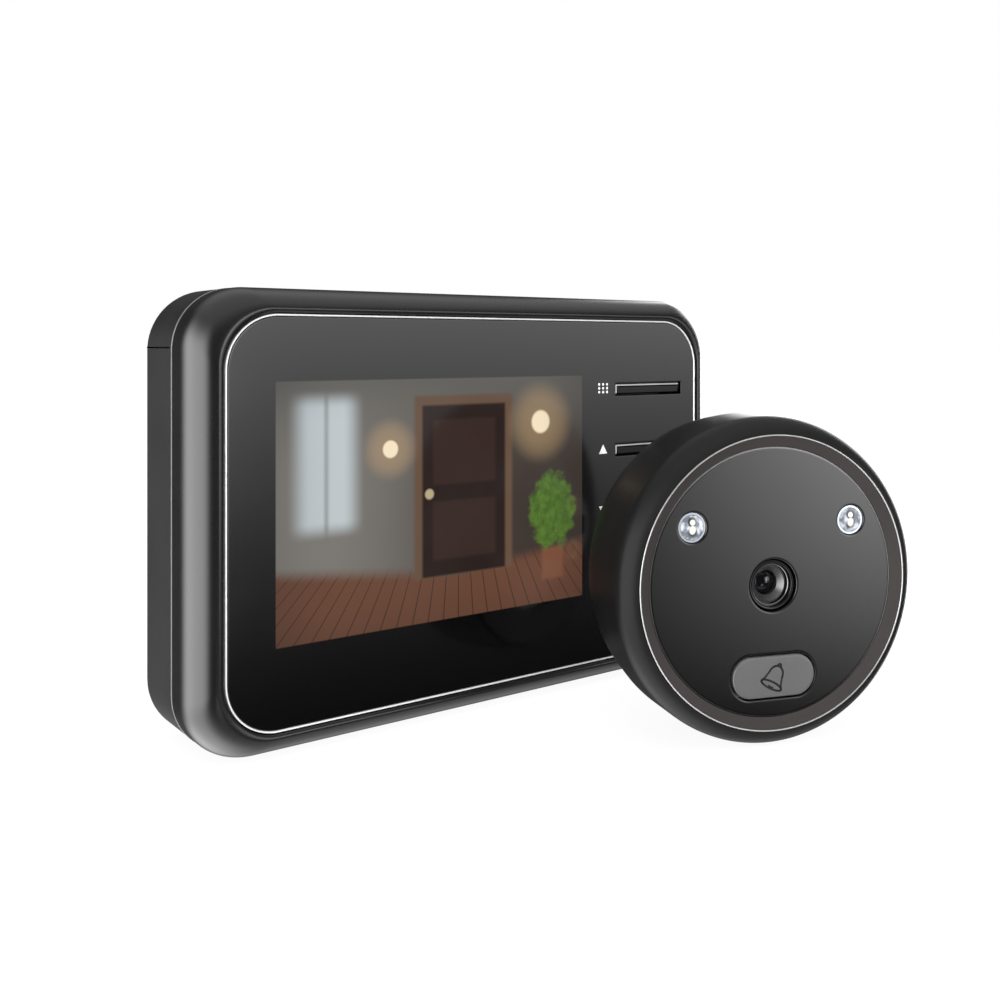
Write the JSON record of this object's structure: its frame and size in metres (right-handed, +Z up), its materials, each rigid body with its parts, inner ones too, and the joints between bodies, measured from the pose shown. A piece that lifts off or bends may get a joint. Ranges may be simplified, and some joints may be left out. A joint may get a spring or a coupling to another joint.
{
  "type": "peephole door camera",
  "caption": "Door viewer set: flat indoor screen unit with side keys, and a round outdoor camera with lamps and a bell button.",
  "frame": {"origin": "on the floor, in the middle of the monitor's width, midway along the flat underside of its front shell", "axes": "+Z up; the monitor faces -Y; +X is to the right of someone who looks at the screen"},
  "size_m": [0.105, 0.0702, 0.0698],
  "materials": {
    "satin_black": "moulded, satin",
    "bright_trim": "plated, bright",
    "gloss_panel": "polished black sheet",
    "display": "lit screen",
    "folded_steel": "folded sheet",
    "gloss_key": "polished",
    "switch_body": "moulded",
    "circuit_board": "solder mask",
    "chip_black": "moulded",
    "socket_ivory": "moulded",
    "screw_steel": "zinc plated",
    "cell_sleeve": "plain printed sleeve",
    "contact_nickel": "nickel plated",
    "speaker_metal": "pressed",
    "bevel_bronze": "dark warm grey, satin",
    "lens_black": "black, satin",
    "lens_glass": "coated",
    "sensor_glass": "polished",
    "silvered_cup": "silvered",
    "lamp_die": "pale phosphor",
    "clear_cover": "clear",
    "grey_button": "satin",
    "seal_rubber": "moulded",
    "insert_brass": "machined",
    "gasket_foam": "foam"
  },
  "bodies": {
    "casing": {"front_shell": "satin_black", "rear_shell": "satin_black", "seam_trim": "bright_trim", "panel_trim": "bright_trim", "face_panel": "gloss_panel", "lcd_module": "display", "lcd_frame": "folded_steel", "key_switches": "switch_body", "main_board": "circuit_board", "processor_chip": "chip_black", "ribbon_socket": "socket_ivory", "board_screws": "screw_steel", "shell_screws": "screw_steel", "battery_1": "cell_sleeve", "battery_2": "cell_sleeve", "battery_3": "cell_sleeve", "battery_4": "cell_sleeve", "battery_contacts": "contact_nickel", "speaker": "speaker_metal", "outdoor_shell": "satin_black", "edge_ring": "bright_trim", "bevel_ring": "bevel_bronze", "outdoor_face": "gloss_panel", "lens_barrel": "lens_black", "lens_glass": "lens_glass", "lens_holder": "lens_black", "image_sensor": "sensor_glass", "lamp_cup_left": "silvered_cup", "lamp_cup_right": "silvered_cup", "lamp_die_left": "lamp_die", "lamp_die_right": "lamp_die", "lamp_cover_left": "clear_cover", "lamp_cover_right": "clear_cover", "lamp_posts": "switch_body", "bell_seal": "seal_rubber", "bell_switch": "switch_body", "outdoor_board": "circuit_board", "outdoor_ribbon_socket": "socket_ivory", "outdoor_back": "satin_black", "threaded_inserts": "insert_brass", "outdoor_screws": "screw_steel", "door_gasket": "gasket_foam"},
    "menu_key": {"menu_key": "gloss_key"},
    "up_key": {"up_key": "gloss_key"},
    "down_key": {"down_key": "gloss_key"},
    "power_key": {"power_key": "gloss_key"},
    "bell_button": {"bell_button": "grey_button"},
    "back_cover": {"back_cover": "satin_black"}
  },
  "joints": [
    {"name": "menu_key_press", "type": "slide", "parent": "casing", "child": "menu_key", "axis": [0, 1, 0], "range_m": [0, 0.0004], "stiffness_N_per_m": 1500, "springref_m": -0.0003},
    {"name": "up_key_press", "type": "slide", "parent": "casing", "child": "up_key", "axis": [0, 1, 0], "range_m": [0, 0.0004], "stiffness_N_per_m": 1500, "springref_m": -0.0003},
    {"name": "down_key_press", "type": "slide", "parent": "casing", "child": "down_key", "axis": [0, 1, 0], "range_m": [0, 0.0004], "stiffness_N_per_m": 1500, "springref_m": -0.0003},
    {"name": "power_key_press", "type": "slide", "parent": "casing", "child": "power_key", "axis": [0, 1, 0], "range_m": [0, 0.0004], "stiffness_N_per_m": 1500, "springref_m": -0.0003},
    {"name": "bell_press", "type": "slide", "parent": "casing", "child": "bell_button", "axis": [0.3392, 0.9407, 0], "range_m": [0, 0.0008], "stiffness_N_per_m": 1500, "springref_m": -0.0005},
    {"name": "back_cover_pull", "type": "slide", "parent": "casing", "child": "back_cover", "axis": [0, 1, 0], "range_m": [0, 0.016]}
  ]
}
